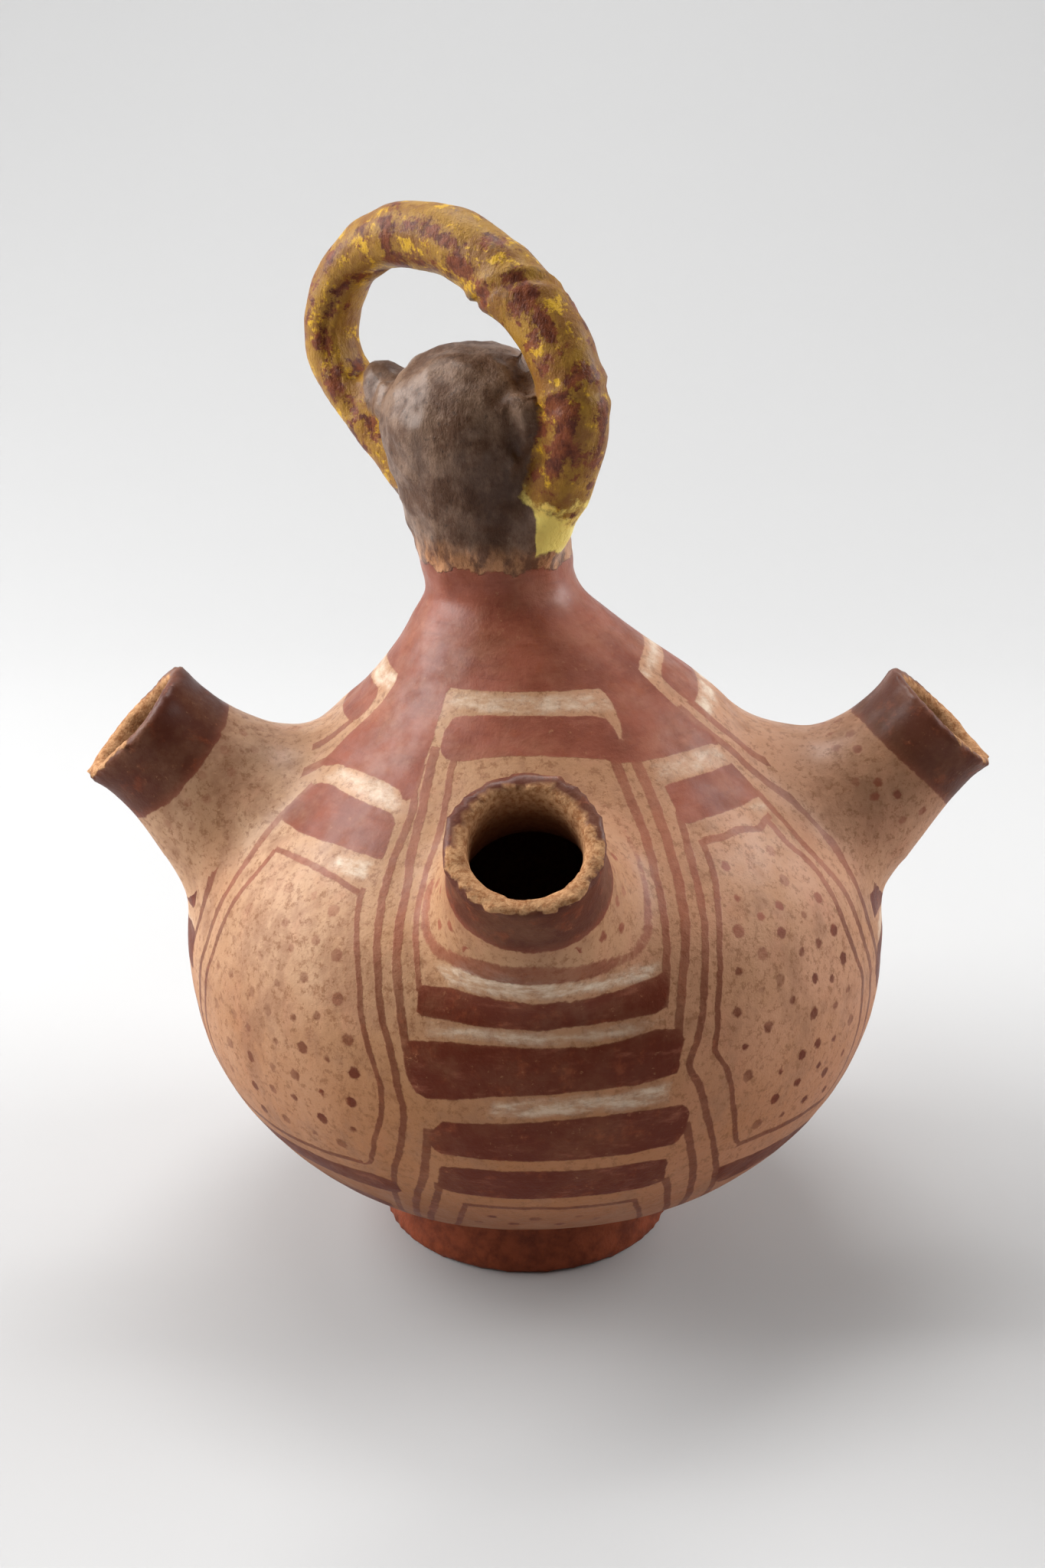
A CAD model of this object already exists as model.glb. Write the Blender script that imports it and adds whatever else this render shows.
"""Dresses the effigy vessel: a fine clay skin with its hand-made unevenness, the painted slip,
and a plain pale studio. Lengths here are millimetres unless a name says otherwise.
"""
import math

import bmesh
import bpy
import numpy as np
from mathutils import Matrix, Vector, noise


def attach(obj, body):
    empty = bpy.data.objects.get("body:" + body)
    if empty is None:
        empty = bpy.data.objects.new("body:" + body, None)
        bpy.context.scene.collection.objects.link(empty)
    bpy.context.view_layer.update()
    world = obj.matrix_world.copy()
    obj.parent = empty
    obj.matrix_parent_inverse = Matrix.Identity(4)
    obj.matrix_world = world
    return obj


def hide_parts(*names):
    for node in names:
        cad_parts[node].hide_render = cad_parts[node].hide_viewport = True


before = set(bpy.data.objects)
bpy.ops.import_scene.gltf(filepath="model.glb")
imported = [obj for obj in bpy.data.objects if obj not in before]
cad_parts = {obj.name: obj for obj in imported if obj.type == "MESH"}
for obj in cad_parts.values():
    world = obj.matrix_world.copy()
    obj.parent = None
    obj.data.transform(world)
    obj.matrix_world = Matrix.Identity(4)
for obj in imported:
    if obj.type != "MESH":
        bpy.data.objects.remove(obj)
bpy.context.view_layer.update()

MM = 0.001
VOXEL = 1.7
FINISHED_POINTS = 97000  # keeps the piece under 200,000 triangles
INNER_FACE = -2.8  # deeper than this under the outer face lies the inner wall
STRAP_ARC = 8.0  # the strap's turn is laid flat at this radius
RING_ARC = 80.0  # and the rings round the front and back spouts at this one
DOT_RADIUS = 1.15
PAST_SAMPLES = 12  # samples of a spout's line beyond its mouth
SPOUT_BEND = 0.36
DEGREES_TO_ARC = 57.3

# The turned form, as the solid has it
FOOT_WAIST, FOOT_HEIGHT = 37.0, 15.0
BODY_RADIUS, BELLY_DEPTH, SHOULDER_HEIGHT = 90.5, 71.8, 93.0
NECK_RADIUS, HEAD_RADIUS, HEAD_LIFT, CROWN_RISE = 19.2, 22.6, 39.5, 20.8
BODY_SHIFT, NECK_SHIFT, HEAD_SHIFT = 1.8, -6.4, -13.4
SHOULDER_LINE = (
    (0.993, 0.119), (0.916, 0.303), (0.755, 0.443), (0.573, 0.568),
    (0.415, 0.681), (0.290, 0.770), (0.170, 0.854), (0.072, 0.933),
)
HEAD_LINE = ((-0.05, 0.17), (0.10, 0.34), (0.38, 0.55), (0.80, 0.79), (1.00, 1.00))
SPOUTS = (
    (-0.5, 48.5, 26.0, 93.5, 141.2, 17.7),
    (87.0, 48.0, 17.0, 104.8, 142.2, 17.6),
    (180.0, 46.0, 24.0, 96.0, 141.0, 17.2),
    (-83.5, 42.0, 31.0, 99.0, 142.4, 18.2),
)
SPOUT_WALL, SEAT_RADIUS, SEAT_HEIGHT = 4.6, 64.0, 30.5
SPOUT_LINE = (
    (0.00, 1.00), (0.12, 0.945), (0.28, 0.97), (0.43, 1.06), (0.58, 1.20),
    (0.71, 1.38), (0.80, 1.54), (0.90, 1.68), (1.00, 1.74),
)
HOOP_TURN = math.radians(38.0)
STRAP_LINE = (
    (14.0, -37.0), (18.8, -28.0), (22.6, -19.0), (26.6, -11.5), (30.2, -3.5),
    (32.0, 6.0), (29.1, 15.8), (21.9, 25.7), (9.8, 35.6), (-4.5, 42.6),
    (-19.2, 44.6), (-32.0, 41.8), (-41.5, 33.8), (-46.2, 22.5), (-44.5, 12.5),
    (-36.8, 2.8), (-29.0, -5.0), (-21.5, -12.5), (-15.0, -19.5),
)

BELLY = FOOT_HEIGHT + BELLY_DEPTH * math.sqrt(1.0 - (FOOT_WAIST / BODY_RADIUS) ** 2)
NECK = BELLY + SHOULDER_HEIGHT
HEAD = NECK + HEAD_LIFT


def ease(share):
    share = np.clip(share, 0.0, 1.0)
    return share * share * (3.0 - 2.0 * share)


def ramp(value, low, high):
    """0 below low, 1 above high, eased between; the other way round if low is above high."""
    return ease((value - low) / (high - low))


def lean(height):
    start, end = BELLY + 0.70 * SHOULDER_HEIGHT, BELLY + 1.05 * SHOULDER_HEIGHT
    shift = BODY_SHIFT * ease((height - FOOT_HEIGHT) / (0.4 * (BELLY - FOOT_HEIGHT)))
    shift = shift + (NECK_SHIFT - BODY_SHIFT) * ease((height - start) / (end - start))
    up = np.clip((height - NECK) / HEAD_LIFT, 0.0, 1.0)
    return shift + (HEAD_SHIFT - NECK_SHIFT) * up


def smooth_line(points, steps):
    """Catmull-Rom curve through the points."""
    points = [np.array(p, float) for p in points]
    ends = [2 * points[0] - points[1]] + points + [2 * points[-1] - points[-2]]
    line = []
    for i in range(1, len(ends) - 2):
        a, b, c, d = ends[i - 1 : i + 3]
        for k in range(steps):
            t = k / steps
            line.append(0.5 * (
                2 * b + (c - a) * t + (2 * a - 5 * b + 4 * c - d) * t * t
                + (3 * b - a - 3 * c + d) * t**3
            ))
    line.append(ends[-2])
    return np.array(line)


def runs(points):
    steps = np.linalg.norm(np.diff(points, axis=0), axis=1)
    return np.concatenate([[0.0], np.cumsum(steps)])


def profile():
    """Radius and height up the body, neck and head, with the length along it from the foot."""
    turn = np.linspace(0.0, 0.5 * math.pi, 200, endpoint=False)
    belly = np.stack([BODY_RADIUS * np.sin(turn), BELLY - BELLY_DEPTH * np.cos(turn)], 1)
    belly = belly[belly[:, 1] >= FOOT_HEIGHT]
    span = BODY_RADIUS - NECK_RADIUS
    upper = [(BODY_RADIUS, BELLY)]
    upper += [(NECK_RADIUS + o * span, BELLY + u * SHOULDER_HEIGHT) for o, u in SHOULDER_LINE]
    upper += [(NECK_RADIUS, NECK)]
    swell = HEAD_RADIUS - NECK_RADIUS
    upper += [(NECK_RADIUS + o * swell, NECK + u * HEAD_LIFT) for o, u in HEAD_LINE]
    for k in range(1, 5):
        a = 0.5 * math.pi * k / 4
        upper.append((HEAD_RADIUS * math.cos(a), HEAD + CROWN_RISE * math.sin(a)))
    line = np.concatenate([belly, smooth_line(upper, 24)])
    return line, runs(line)


def nearest(points, line, chunk=20000):
    """Index of the nearest sample of a line for every point, and the distance."""
    index = np.zeros(len(points), int)
    gap = np.zeros(len(points))
    weight = (line**2).sum(1)
    for start in range(0, len(points), chunk):
        part = points[start : start + chunk]
        square = weight[None, :] - 2.0 * part @ line.T
        best = square.argmin(1)
        index[start : start + chunk] = best
        gap[start : start + chunk] = np.linalg.norm(part - line[best], axis=1)
    return index, gap


def spout_path(azimuth, tilt, slope, reach, height):
    azimuth, tilt, slope = (math.radians(v) for v in (azimuth, tilt, slope))
    out = np.array([math.sin(azimuth), -math.cos(azimuth), 0.0])
    up = np.array([0.0, 0.0, 1.0])
    level = BELLY + SEAT_HEIGHT
    seat = out * SEAT_RADIUS + np.array([float(lean(level)), 0.0, level])
    mouth = out * reach + up * height
    rise = out * math.cos(slope) + up * math.sin(slope)
    aim = out * math.cos(tilt) + up * math.sin(tilt)
    hold = SPOUT_BEND * np.linalg.norm(mouth - seat)
    t = np.linspace(0.0, 1.0, 121)[:, None]
    s = 1.0 - t
    line = s**3 * mouth + 3 * s * s * t * (mouth - aim * hold)
    line = line + 3 * s * t * t * (seat + rise * hold) + t**3 * seat
    past = mouth + aim * np.linspace(6.0, 0.5, PAST_SAMPLES)[:, None]
    return np.concatenate([past, line]), aim


def welded_copy(name):
    """The vessel's own mesh, copied and welded, as a new object."""
    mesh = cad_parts["effigy_vessel"].data.copy()
    mesh.name = name
    work = bmesh.new()
    work.from_mesh(mesh)
    bmesh.ops.remove_doubles(work, verts=work.verts, dist=1e-6)
    bmesh.ops.recalc_face_normals(work, faces=work.faces)
    work.to_mesh(mesh)
    work.free()
    obj = bpy.data.objects.new(name, mesh)
    bpy.context.scene.collection.objects.link(obj)
    return obj


def applied(obj):
    bpy.context.view_layer.update()
    seen = obj.evaluated_get(bpy.context.evaluated_depsgraph_get())
    mesh = bpy.data.meshes.new_from_object(seen)
    obj.modifiers.clear()
    obj.vertex_groups.clear()
    obj.data = mesh


def remeshed(obj, size):
    step = obj.modifiers.new("even", "REMESH")
    step.mode = "VOXEL"
    step.voxel_size = size
    applied(obj)


class Skin:
    """The mesh as arrays, with every vertex placed on the body, the spouts and the strap."""

    def __init__(self, obj):
        self.obj = obj
        mesh = obj.data
        flat = np.zeros(len(mesh.vertices) * 3, np.float64)
        mesh.vertices.foreach_get("co", flat)
        self.co = flat.reshape(-1, 3) / MM
        edges = np.zeros(len(mesh.edges) * 2, np.int32)
        mesh.edges.foreach_get("vertices", edges)
        self.edges = edges.reshape(-1, 2)
        self.count = np.bincount(self.edges.ravel(), minlength=len(self.co)).astype(float)
        self.locate()

    def store(self):
        self.obj.data.vertices.foreach_set("co", (self.co * MM).ravel())
        self.obj.data.update()

    def normals(self):
        self.store()
        flat = np.zeros(len(self.co) * 3, np.float32)
        self.obj.data.vertex_normals.foreach_get("vector", flat)
        return flat.reshape(-1, 3).astype(float)

    def around(self, values):
        """Mean of the neighbours' values."""
        a, b = self.edges[:, 0], self.edges[:, 1]
        if values.ndim == 1:
            total = np.bincount(a, values[b], len(values)) + np.bincount(b, values[a], len(values))
            return total / self.count
        return np.stack([self.around(values[:, k]) for k in range(values.shape[1])], 1)

    def smooth(self, weight, rounds, back=-0.52):
        """Evens the surface, with a step back after each step so that it doesn't shrink."""
        for _ in range(rounds):
            for share in (0.5, back):
                if share:
                    self.co += (weight * share)[:, None] * (self.around(self.co) - self.co)

    def locate(self):
        co = self.co
        x = co[:, 0] - lean(co[:, 2])
        rho = np.hypot(x, co[:, 1])
        self.az = np.degrees(np.arctan2(x, -co[:, 1]))
        line, run = profile()
        index, gap = nearest(np.stack([rho, co[:, 2]], 1), line)
        ahead = line[np.minimum(index + 1, len(line) - 1)] - line[np.maximum(index - 1, 0)]
        ahead /= np.linalg.norm(ahead, axis=1)[:, None]
        away = np.stack([rho, co[:, 2]], 1) - line[index]
        self.out = away[:, 0] * ahead[:, 1] - away[:, 1] * ahead[:, 0]
        self.facing = np.stack([
            ahead[:, 1] * x / np.maximum(rho, 1e-6),
            ahead[:, 1] * co[:, 1] / np.maximum(rho, 1e-6),
            -ahead[:, 0],
        ], 1)
        self.s = run[index] + (away * ahead).sum(1) * (gap < 3.0)
        self.r = line[index, 0]
        self.spouts = []
        for row in SPOUTS:
            path, aim = spout_path(*row[:5])
            index, gap = nearest(co, path)
            length = runs(path)
            along = length[index] - length[PAST_SAMPLES]
            total = length[-1] - length[PAST_SAMPLES]
            table = smooth_line(SPOUT_LINE, 8)
            radius = row[5] * np.interp(along / total, table[:, 0], table[:, 1])
            ahead = path[np.minimum(index + 1, len(path) - 1)] - path[np.maximum(index - 1, 0)]
            ahead /= np.linalg.norm(ahead, axis=1)[:, None]
            offset = co - path[index]
            offset -= (offset * ahead).sum(1)[:, None] * ahead
            side = np.cross(ahead, (0.0, 0.0, 1.0))
            side /= np.linalg.norm(side, axis=1)[:, None]
            turn = np.degrees(np.arctan2(
                (offset * side).sum(1), (offset * np.cross(side, ahead)).sum(1)
            ))
            self.spouts.append((along, np.linalg.norm(offset, axis=1), radius, turn, offset, gap))
        across = np.array([math.cos(HOOP_TURN), -math.sin(HOOP_TURN), 0.0])
        forward = np.array([math.sin(HOOP_TURN), math.cos(HOOP_TURN), 0.0])
        table = smooth_line(STRAP_LINE, 12)
        path = np.array([HEAD_SHIFT, 0.0, HEAD]) + table[:, :1] * across
        path[:, 2] += table[:, 1]
        index, self.strap_gap = nearest(co, path)
        self.strap_t = runs(path)[index]
        ahead = path[np.minimum(index + 1, len(path) - 1)] - path[np.maximum(index - 1, 0)]
        ahead /= np.linalg.norm(ahead, axis=1)[:, None]
        outward = across * ahead[:, 2:] - np.outer(ahead @ across, (0.0, 0.0, 1.0))
        offset = co - path[index]
        self.strap_offset = offset
        self.strap_turn = np.degrees(np.arctan2((offset * outward).sum(1), offset @ forward))


class Graph:
    """Small helpers that add shader nodes and hand back their output sockets."""

    def __init__(self, material):
        self.tree = material.node_tree
        self.nodes = self.tree.nodes
        self.links = self.tree.links

    def put(self, socket, value):
        if isinstance(value, bpy.types.NodeSocket):
            self.links.new(value, socket)
        else:
            socket.default_value = value

    def math(self, operation, a, b=0.0, clamp=False):
        node = self.nodes.new("ShaderNodeMath")
        node.operation = operation
        node.use_clamp = clamp
        self.put(node.inputs[0], a)
        self.put(node.inputs[1], b)
        return node.outputs[0]

    def add(self, a, b):
        return self.math("ADD", a, b)

    def sub(self, a, b):
        return self.math("SUBTRACT", a, b)

    def mul(self, a, b):
        return self.math("MULTIPLY", a, b)

    def least(self, *values):
        low = values[0]
        for value in values[1:]:
            low = self.math("MINIMUM", low, value)
        return low

    def most(self, *values):
        high = values[0]
        for value in values[1:]:
            high = self.math("MAXIMUM", high, value)
        return high

    def step(self, value, low, high, start=0.0, end=1.0):
        """start below low, end above high, eased between."""
        node = self.nodes.new("ShaderNodeMapRange")
        node.interpolation_type = "SMOOTHSTEP"
        for socket, item in zip(node.inputs, (value, low, high, start, end)):
            self.put(socket, item)
        return node.outputs[0]

    def mix(self, share, a, b):
        node = self.nodes.new("ShaderNodeMix")
        node.data_type = "RGBA"
        self.put(node.inputs[0], share)
        self.put(node.inputs[6], a)
        self.put(node.inputs[7], b)
        return node.outputs[2]

    def over(self, base, tone, field, low, high, share):
        """A tone laid over the base as the field runs from low to high, up to a share."""
        return self.mix(self.step(field, low, high, 0.0, share), base, colour(*tone))

    def noise(self, size, detail=2.0, rough=0.5, place=None, stretch=None):
        """Noise with features of about size millimetres, 0 to 1."""
        node = self.nodes.new("ShaderNodeTexNoise")
        node.inputs["Scale"].default_value = 1.0 / (size * MM)
        node.inputs["Detail"].default_value = detail
        node.inputs["Roughness"].default_value = rough
        place = place or self.place
        if stretch:
            scale = self.nodes.new("ShaderNodeVectorMath")
            scale.operation = "MULTIPLY"
            self.links.new(place, scale.inputs[0])
            scale.inputs[1].default_value = stretch
            place = scale.outputs[0]
        self.links.new(place, node.inputs["Vector"])
        return node.outputs[0]

    def data(self, name):
        node = self.nodes.new("ShaderNodeAttribute")
        node.attribute_name = name
        return node.outputs["Fac"]

    def curve(self, value, points, low, high, floor, roof):
        """A hand-set curve: value runs low to high, the answer floor to roof."""
        share = self.math("DIVIDE", self.sub(value, low), high - low)
        node = self.nodes.new("ShaderNodeFloatCurve")
        line = node.mapping.curves[0]
        spots = sorted(
            ((x - low) / (high - low), (y - floor) / (roof - floor)) for x, y in points
        )
        line.points[0].location = spots[0]
        line.points[1].location = spots[-1]
        for spot in spots[1:-1]:
            line.points.new(*spot)
        for point in line.points:
            point.handle_type = "AUTO"
        node.mapping.update()
        self.links.new(share, node.inputs["Value"])
        return self.add(self.mul(node.outputs[0], roof - floor), floor)


def colour(red, green, blue):
    """Linear colour from the usual 0 to 255 screen values."""
    parts = []
    for value in (red, green, blue):
        value /= 255.0
        parts.append(value / 12.92 if value <= 0.04045 else ((value + 0.055) / 1.055) ** 2.4)
    return (*parts, 1.0)


# Painted slip, read as azimuth in degrees and run up the body in millimetres.
# The back repeats the front, mirrored, with its own unevenness.
AXIS_RANGE = (-90.0, 90.0)
RUN_RANGE = (0.0, 230.0)

# Upright lines: places, and half the width at the top and at the bottom
UPRIGHTS = (
    (((-22.8, 170), (-22.5, 165), (-21.2, 157), (-20.3, 148), (-20, 139), (-19.2, 125),
      (-17.9, 117), (-17.2, 112)), 0.9, 0.75),
    (((-29.5, 171), (-28.6, 166), (-26.8, 157), (-25.1, 146), (-23.2, 136), (-22.3, 127),
      (-21.2, 117), (-19.6, 106), (-18.4, 98)), 1.25, 1.05),
    (((-31.2, 166), (-30.3, 160), (-28.6, 154), (-28, 146), (-27.4, 137), (-25.7, 125),
      (-24, 115), (-22.6, 105), (-20.9, 97), (-20.1, 90), (-19.3, 83), (-20.5, 73),
      (-22.6, 64), (-24.5, 55), (-26.5, 45), (-29, 33), (-31, 20), (-32, 2)), 1.0, 0.8),
    (((-30.9, 133), (-30.3, 128), (-27.3, 115), (-25.7, 103), (-24, 95), (-22.6, 88),
      (-23.4, 79), (-25.1, 72), (-26, 67), (-27.4, 63), (-29, 61.6)), 0.75, 0.7),
    (((22, 169), (22.5, 157), (22.4, 148), (21.5, 136), (20.7, 127), (19.6, 117), (18.6, 108)),
     1.3, 0.9),
    (((28, 170), (27.7, 157), (26.8, 146), (25.7, 136), (24.3, 127), (22.4, 117), (20.9, 106),
      (20.4, 101)), 1.35, 1.1),
    (((32.6, 153), (31.6, 148), (30.4, 142), (29, 134), (27.7, 127), (26, 117), (24.6, 106),
      (23.2, 99), (22.1, 94.5), (23.8, 88), (26, 78), (28.8, 67), (31, 58.7), (33.5, 49),
      (36, 38), (38, 25), (39, 2)), 1.0, 0.85),
    (((34.2, 144), (33.4, 137), (30.7, 127), (28.6, 117), (27.6, 109), (26.8, 102),
      (26.3, 96), (28.4, 90), (30, 81), (31.7, 72), (32.7, 68), (33.8, 66)), 0.85, 0.75),
    (((53.6, 144), (54.4, 137), (56.3, 130), (56.9, 121), (57.5, 112), (59, 104), (61, 96),
      (61.4, 88), (60.5, 78), (58, 70), (55.5, 66)), 1.1, 0.7),
    (((58.2, 151), (58.4, 140), (59.2, 130), (61.3, 118), (63, 106), (64.8, 97), (66, 85),
      (65, 72), (62, 60), (60, 48), (59, 30), (58, 2)), 1.15, 0.8),
    (((55.0, 178), (57.3, 171), (60.4, 165), (62.4, 158), (64.8, 148), (66.3, 140),
      (66.6, 130), (66.5, 120), (67.1, 109), (68.5, 100), (70, 92)), 1.5, 1.2),
    (((62.3, 178), (65, 170), (67.7, 164), (69.5, 156), (72.4, 148), (73.3, 140), (75, 131),
      (75.6, 122), (74, 110)), 1.5, 1.2),
    (((-60.3, 152), (-60.5, 140), (-60.5, 130), (-60.8, 120), (-62.2, 111), (-63.7, 102),
      (-65.5, 92), (-66.5, 80), (-65, 66), (-62, 54), (-60, 40), (-59, 2)), 1.0, 0.8),
    (((-62.2, 161), (-64.2, 157), (-66, 151), (-67, 140), (-67, 130), (-67.2, 121),
      (-68.4, 111), (-70, 102), (-71, 93)), 1.4, 1.1),
    (((-69, 170), (-70.7, 165), (-72.3, 155), (-73.5, 145), (-74.2, 133), (-74.5, 121),
      (-73.5, 110)), 1.4, 1.2),
    (((-55.4, 133.5), (-55.6, 128), (-57, 120), (-58.6, 112), (-60.5, 102), (-62.5, 92),
      (-63.4, 80), (-62, 70), (-60, 62.5)), 0.8, 0.7),
    # under the spouts: legs of the two blocks and of the lowest arch
    (((-15.7, 79), (-17.2, 67), (-18.5, 60), (-20.2, 54), (-22.7, 44), (-25.2, 33), (-27, 20),
      (-28, 2)), 1.1, 0.8),
    (((-15.8, 60), (-16.4, 56), (-18.2, 48), (-20.7, 39), (-22.9, 30), (-24.5, 18),
      (-25, 2)), 1.0, 0.8),
    (((-12.0, 51.5), (-12.5, 49), (-14.3, 41), (-16.2, 32), (-17.5, 27), (-20, 14), (-21, 2)),
     0.75, 0.7),
    (((22.1, 79), (23.8, 71), (25.4, 64), (27.7, 53), (30, 43), (32, 34), (34, 20), (35, 2)),
     1.1, 0.8),
    (((21.4, 60), (22.1, 57), (23.8, 50), (26, 42), (28.8, 33), (30.5, 20), (31, 2)), 1.0, 0.8),
    (((17.2, 51.5), (17.6, 50), (19.3, 44), (21.6, 37), (24.3, 29.5), (26.5, 16), (27, 2)),
     0.75, 0.7),
)
# Lines that run round: places, half the width
ROUNDS = (
    (((33.6, 143.8), (36, 144.2), (39.5, 143.9), (44.5, 144.0), (50, 142.6), (53, 143.6),
      (55.8, 144.2)), 0.95),
    (((33.4, 66.1), (38, 66.5), (44, 66.2), (50, 66), (56, 66)), 0.85),
    (((-55.6, 134.0), (-52, 134.6), (-46, 134.6), (-40, 134.0), (-35, 132.9), (-30.9, 131.4)),
     0.75),
    (((-60.3, 62.6), (-50, 61.6), (-43, 61.3), (-34, 61.3), (-28.6, 62.3)), 0.75),
    (((-12.6, 50.9), (-4, 51.2), (4, 51.3), (12, 50.9), (17.6, 51.0)), 0.8),
)
# Filled shapes
BLOCKS = (
    ((-28.3, 171.5), (-28.6, 176), (-27.6, 179.3), (-24, 180.6), (-12, 181.3), (0, 181.8),
     (12, 181.4), (20, 180.9), (24.4, 179.6), (25.6, 176.5), (25.2, 172.5), (24.5, 170.0),
     (20, 168.8), (10, 170.3), (0, 171), (-10, 170.6), (-20, 168.6), (-24, 168.2),
     (-26.5, 169.3)),
    ((-17.2, 113.6), (-12, 113.8), (-6, 112.2), (0, 111.6), (6, 112), (12, 113.6), (17, 115),
     (19.7, 116.5), (19.7, 113), (18.8, 108.6), (17.6, 107.2), (10, 106.3), (0, 105.3),
     (-8, 105.9), (-14, 106.8), (-17.2, 107.1), (-17.3, 110)),
    ((-18.3, 101), (-12, 101.8), (0, 101.2), (8, 101.4), (13, 102.4), (17, 103.6),
     (20.8, 102.8), (21.3, 100.6), (20.6, 97), (20.3, 92.7), (14, 91), (6, 90.6), (0, 89.9),
     (-6, 89.4), (-12, 88), (-15.5, 87.5), (-17.3, 88.8), (-18.6, 93), (-19, 98)),
    ((-13.5, 81.6), (-8, 81.9), (0, 83), (8, 84), (16, 84.4), (21.5, 84.2), (22.6, 82),
     (22.2, 77), (21, 73), (14, 71.8), (6, 71.6), (0, 71.3), (-8, 71.4), (-14.6, 71.8),
     (-15.8, 74), (-15.6, 78)),
    ((-14.8, 67.3), (-8, 67.7), (0, 67.8), (10, 68), (18, 68.3), (20.5, 67.6), (20.9, 63),
     (21.3, 58.5), (18, 57), (8, 56.8), (0, 56.3), (-8, 56.2), (-14, 56.8), (-16.2, 58),
     (-15.3, 63)),
    ((32.3, 160.2), (40, 160.4), (50, 160), (57.7, 159.8), (58.5, 155), (58.9, 149.4),
     (50, 149.4), (40, 149.5), (33, 149.3), (31.8, 150.5), (32.2, 155)),
    ((-60.2, 152), (-58.5, 153.4), (-53.5, 154.4), (-48, 153.8), (-40, 153), (-33, 152.2),
     (-30.8, 150), (-29.8, 143), (-30, 140.3), (-35, 140.8), (-42, 141), (-50, 140.6),
     (-58, 140.4), (-60.4, 140.6), (-60.8, 146)),
    ((-62, 57.2), (-45, 57.5), (-36, 57.2), (-28, 57.8), (-24, 56.5), (-23.6, 52), (-25, 50),
     (-32, 50), (-45, 49.8), (-58, 50), (-62, 52)),
    ((31.5, 58.5), (36, 58.8), (44, 58.5), (56, 58), (60, 56), (60, 50), (56, 48), (44, 48),
     (35, 48.6), (33, 51)),
    ((-57, 41), (-45, 41.5), (-34, 41), (-30, 38), (-31, 32), (-36, 30), (-45, 30), (-55, 31)),
    ((40, 40), (47, 40.5), (55, 40), (56, 33), (53, 30), (47, 30), (41, 31)),
    ((61.2, 185.3), (66, 187), (72, 188.2), (82, 188.6), (96, 189), (96, 180), (82, 179.3),
     (72, 178), (64, 177), (62, 178), (60.6, 182)),
    ((-96, 180), (-80, 180.6), (-70, 180.5), (-67, 179), (-65.8, 175), (-66.5, 171),
     (-69, 169.6), (-80, 169.4), (-96, 169.4)),
    # red of the shoulder over the two dotted panels
    ((-61, 189), (-61, 178), (-62.5, 173), (-64, 167), (-64.8, 160), (-64.6, 157),
     (-62, 157.3), (-58, 159.5), (-50, 160.3), (-40, 160), (-34, 158.5), (-31.2, 156),
     (-29.6, 157), (-30.4, 163), (-31.6, 172), (-32.5, 180), (-32.4, 189)),
    ((30.2, 189), (30, 183), (28.4, 178), (26.8, 173.5), (25.3, 171.3), (24, 170.5),
     (20.5, 169.3), (20.6, 167.8), (30, 167), (40, 167), (50, 166.9), (56, 166.3),
     (58.3, 165), (59.4, 167.5), (55.6, 172.3), (53.7, 178.7), (53, 190)),
)
# Top of the pattern, where the red of the shoulder and neck begins
CAP = (
    (-96, 187.6), (-80, 188.0), (-62, 187.2), (-60, 184.0), (-34, 184.0), (-32.2, 187.6),
    (-20, 188.0), (0, 188.3), (20, 188.1), (29.5, 187.6), (31, 184.0), (52, 184.0),
    (53.2, 189.6), (59, 191.0), (65, 192.0), (71, 192.8), (82, 193.5), (96, 194.0),
)
# Thicker, paler strokes of slip: shape and strength
PALES = (
    (((-31, 182.2), (-31, 187), (29, 187.2), (29.3, 182)), 0.6),
    (((-12.5, 114.6), (-14.5, 118), (-11, 119), (-5, 117), (6, 115.6), (13, 117.4),
      (18.3, 118.8), (18, 115.6), (10, 114.2), (3, 112.8), (-6, 113.2)), 1.0),
    (((-15.5, 102.6), (-15.5, 105.4), (-6, 105), (4, 104.4), (14, 105.3), (18, 105.4),
      (12, 103.2), (2, 102.3), (-8, 102.6)), 0.75),
    (((-7, 84), (-6, 88.2), (0, 89), (7, 89.4), (14, 89.8), (19, 90.5), (19, 86), (8, 85),
      (0, 84.2)), 0.7),
    (((31.5, 161.6), (31.5, 166), (56.5, 165.6), (57, 161.2)), 0.55),
    (((52.3, 145.4), (52, 148.6), (56.8, 148.8), (57, 145.6)), 0.7),
    (((-58.5, 155), (-57, 158.2), (-48, 159.4), (-36, 159), (-31.6, 155.5), (-32, 153.2),
      (-44, 154.2), (-53, 155.2)), 0.75),
    (((-40, 135), (-39.5, 139.7), (-31.4, 139.6), (-31.6, 133.8)), 0.9),
    (((64.6, 172), (64.4, 177), (75, 178), (88, 178.6), (88, 174), (74, 172.6)), 0.9),
    (((54, 187), (55, 189), (66, 191), (96, 193), (96, 190), (72, 189.2), (60, 187.5)), 0.85),
    (((-96, 181.4), (-96, 187), (-62, 186.6), (-62, 181.8)), 0.85),
    (((71, 98.6), (71, 102.6), (82, 105.2), (96, 105), (96, 101.6), (82, 101)), 0.8),
    (((-96, 101.6), (-96, 105), (-82, 105.2), (-72, 104), (-72, 101)), 0.8),
)
# Part of a ring round the root of the front and back spouts
RING = (
    (-17.6, 137), (-17.9, 131), (-16.8, 125), (-14.5, 121), (-10, 118.8), (-4, 117.0),
    (5, 117.1), (10, 118.2), (15.5, 120.8), (18, 125), (19.3, 134), (19.7, 142), (19.3, 148),
    (17.9, 154), (16.3, 157.5), (14, 160),
)
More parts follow.
